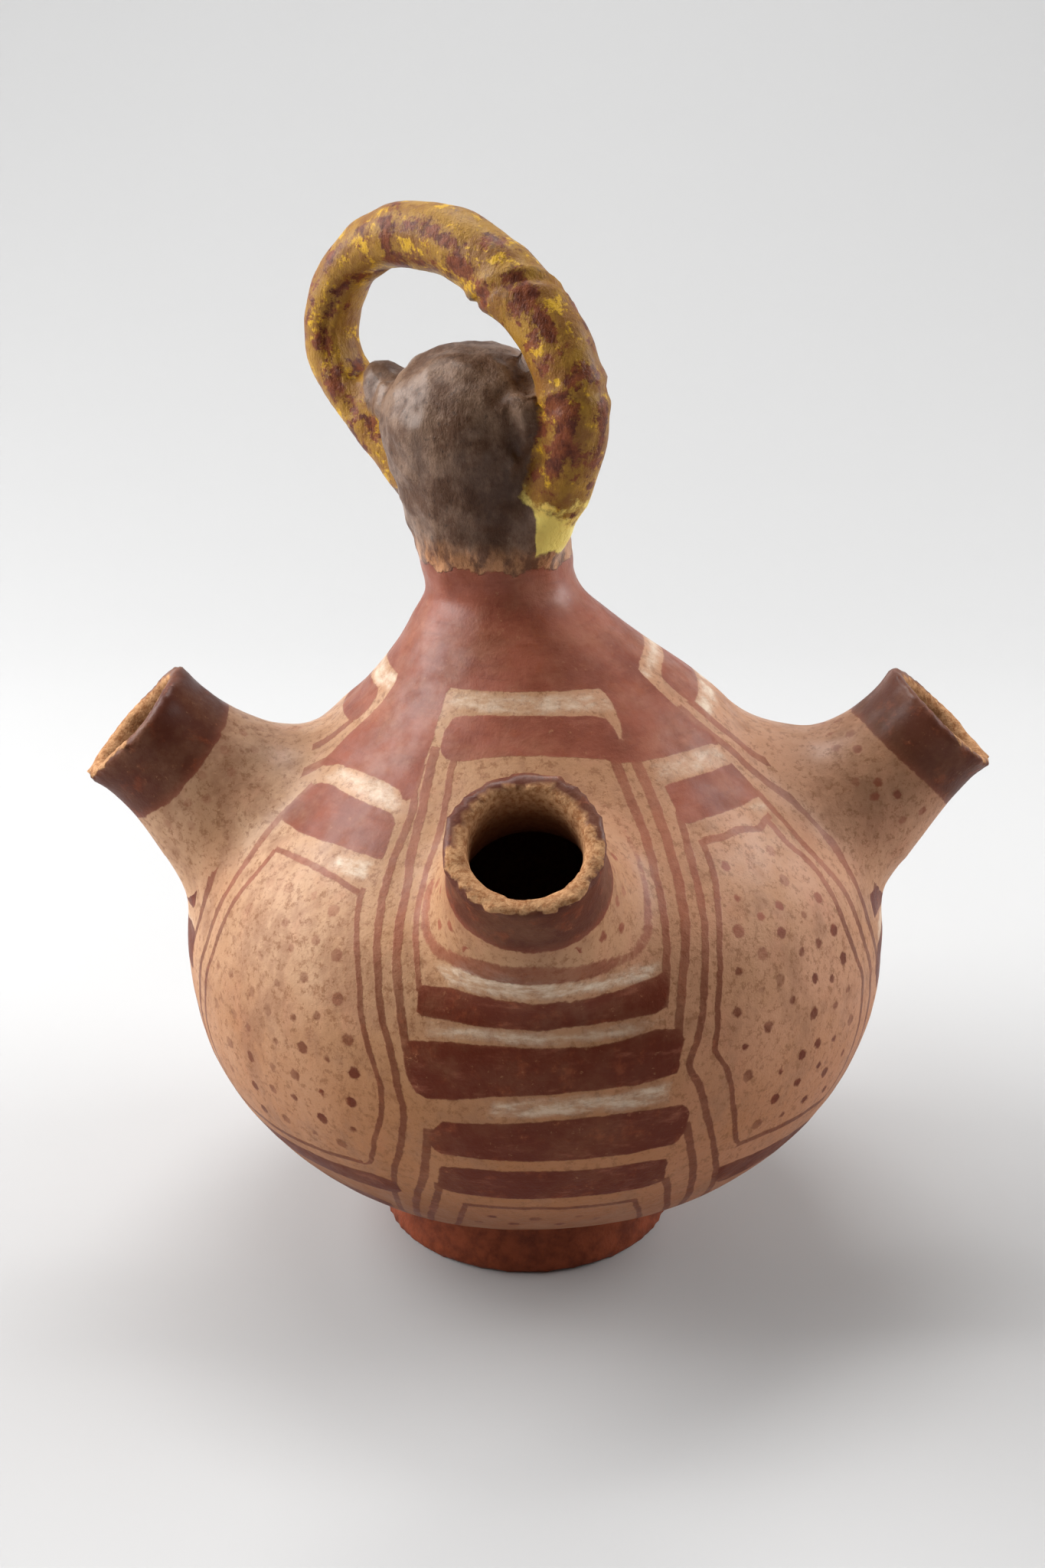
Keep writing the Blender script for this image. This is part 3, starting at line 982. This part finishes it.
dirt = g.math("MINIMUM", g.mul(g.data("smoke"), g.step(patchy, 0.35, 0.6, 0.3, 1.0)), 0.6)
column = g.mix(dirt, column, colour(96, 58, 28))
ending = g.add(g.data("strap_run"), g.add(g.mul(wob, 9.0), g.mul(g.sub(patchy, 0.5), 26.0)))
ochre = g.mix(g.step(ending, 28.0, 21.0), ochre, column)
rough_edge = g.add(g.mul(wob, 3.5), g.mul(brush, 1.8))
on_strap = g.step(g.add(g.data("strap"), rough_edge), -0.6, 0.6, 1.0, 0.0)
on_strap = g.mul(on_strap, g.step(ragged, 185.6, 186.6))
base = g.mix(on_strap, base, ochre)

# Bare clay at the lips and inside
bare_clay = g.mix(g.step(g.noise(1.4, 4.0, 0.7), 0.35, 0.7), colour(204, 156, 112), colour(150, 98, 60))
bare_clay = g.over(bare_clay, (116, 70, 42), g.noise(7.0, 4.0, 0.6), 0.5, 0.75, 0.6)
bare_clay = g.over(bare_clay, (100, 58, 34), g.data("lip"), 1.5, 11.0, 0.85)
rim = g.add(g.data("lip"), g.add(g.mul(wob, 2.4), g.mul(brush, 0.8)))
bare = g.step(rim, 0.2, 0.7, 1.0, 0.0)
base = g.mix(g.most(bare, g.data("hollow")), base, bare_clay)
g.links.new(base, shader.inputs["Base Color"])

# Gloss and relief
gloss = g.step(g.noise(7.0, 4.0, 0.6), 0.3, 0.75, -0.05, 0.1)
rough = g.add(g.mul(red, -0.04), g.add(0.52, gloss))
rough = g.add(rough, g.mul(on_strap, -0.06))
rough = g.add(rough, g.mul(g.most(bare, g.data("hollow")), 0.35))
g.links.new(g.math("ADD", rough, 0.0, True), shader.inputs["Roughness"])
shader.inputs["Specular IOR Level"].default_value = 0.15
polish = g.mul(g.step(g.data("run"), 118.0, 150.0), g.sub(1.0, g.most(bare, g.data("hollow"))))
polish = g.mul(polish, g.step(gloss, 0.1, -0.05, 0.2, 0.5))
polish = g.mul(polish, g.sub(1.0, g.mul(on_strap, 0.6)))
g.links.new(polish, shader.inputs["Coat Weight"])
shader.inputs["Coat Roughness"].default_value = 0.34
relief = g.add(g.mul(g.noise(0.9, 4.0, 0.7), 0.15), g.mul(g.noise(3.0, 3.0, 0.6), 0.16))
relief = g.add(relief, g.mul(g.noise(2.2, 3.0, 0.6, stretch=(0.4, 0.4, 2.2)), 0.06))
relief = g.add(relief, g.mul(red, 0.05))
relief = g.add(relief, g.mul(g.mul(g.most(bare, g.data("hollow")), g.noise(0.6, 3.0, 0.6)), 0.22))
relief = g.add(relief, g.mul(g.mul(is_head, g.noise(1.8, 4.0, 0.7, stretch=(1.0, 1.0, 0.5))), 0.6))
bump = g.nodes.new("ShaderNodeBump")
bump.inputs["Distance"].default_value = MM
bump.inputs["Strength"].default_value = 1.0
g.links.new(relief, bump.inputs["Height"])
g.links.new(bump.outputs[0], shader.inputs["Normal"])
vessel.data.materials.clear()
vessel.data.materials.append(clay)
vessel.data.shade_smooth()

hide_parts("effigy_vessel")
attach(vessel, "root")

# Studio, in metres and watts: a floor that curves up into a round wall, and soft lights
FLOOR_FLAT, FLOOR_CURVE, FLOOR_TOP, FLOOR_SHIFT = 1.3, 0.8, 4.0, -0.7
FLOOR_TONE, WORLD_LIGHT = 0.55, 0.07
AIM = (0, 0, 0.12)
scene = bpy.context.scene
scene.view_settings.view_transform = "Standard"
floor_mesh = bpy.data.meshes.new("floor")
sweep = [(0.7, 0.0), (FLOOR_FLAT, 0.0)]
sweep += [
    (FLOOR_FLAT + FLOOR_CURVE * math.sin(a), FLOOR_CURVE - FLOOR_CURVE * math.cos(a))
    for a in np.linspace(0.1, 1.57, 12)
]
sweep += [(FLOOR_FLAT + FLOOR_CURVE, FLOOR_TOP)]
sides = 72
floor_mesh.from_pydata(
    [(r * math.cos(2 * math.pi * k / sides), r * math.sin(2 * math.pi * k / sides) + FLOOR_SHIFT, z)
     for r, z in sweep for k in range(sides)],
    [],
    [tuple(range(sides))]
    + [(n * sides + k, (n + 1) * sides + k, (n + 1) * sides + (k + 1) % sides,
        n * sides + (k + 1) % sides) for n in range(len(sweep) - 1) for k in range(sides)],
)
floor_mesh.shade_smooth()
floor = bpy.data.objects.new("floor", floor_mesh)
scene.collection.objects.link(floor)
matte = bpy.data.materials.new("pale_floor")
matte.use_nodes = True
matte.node_tree.nodes["Principled BSDF"].inputs["Base Color"].default_value = (FLOOR_TONE,) * 3 + (1,)
matte.node_tree.nodes["Principled BSDF"].inputs["Roughness"].default_value = 0.9
floor_mesh.materials.append(matte)

world = bpy.data.worlds.new("studio")
scene.world = world
world.use_nodes = True
world.node_tree.nodes["Background"].inputs[0].default_value = (1, 1, 1, 1)
world.node_tree.nodes["Background"].inputs[1].default_value = WORLD_LIGHT


def softbox(name, place, aim, width, height, power):
    data = bpy.data.lights.new(name, "AREA")
    data.shape = "RECTANGLE"
    data.size, data.size_y = width, height
    data.energy = power
    lamp = bpy.data.objects.new(name, data)
    lamp.location = place
    lamp.visible_camera = False
    lamp.rotation_mode = "QUATERNION"
    lamp.rotation_quaternion = (Vector(aim) - Vector(place)).to_track_quat("-Z", "Y")
    scene.collection.objects.link(lamp)


softbox("left_softbox", (-0.95, 0.05, 0.70), AIM, 0.9, 0.9, 18.0)
softbox("right_softbox", (1.00, 0.15, 0.60), AIM, 0.6, 0.6, 8.5)
softbox("backdrop_softbox", (0.0, 0.45, 1.5), (0.0, 1.5, 0.35), 0.8, 0.3, 9.0)
softbox("top_softbox", (-0.1, 0.25, 1.1), AIM, 0.8, 0.5, 4.5)

# The photograph's camera
LENS, SENSOR, TILT = 42.19, 36.0, 71.0
CAMERA_PLACE = (-0.0013, -0.449, 0.2763)
lens = bpy.data.cameras.new("camera")
lens.lens = LENS
lens.sensor_width = SENSOR
lens.clip_start = 0.01
camera = bpy.data.objects.new("camera", lens)
camera.location = CAMERA_PLACE
camera.rotation_euler = (math.radians(TILT), 0.0, 0.0)
scene.collection.objects.link(camera)
scene.camera = camera
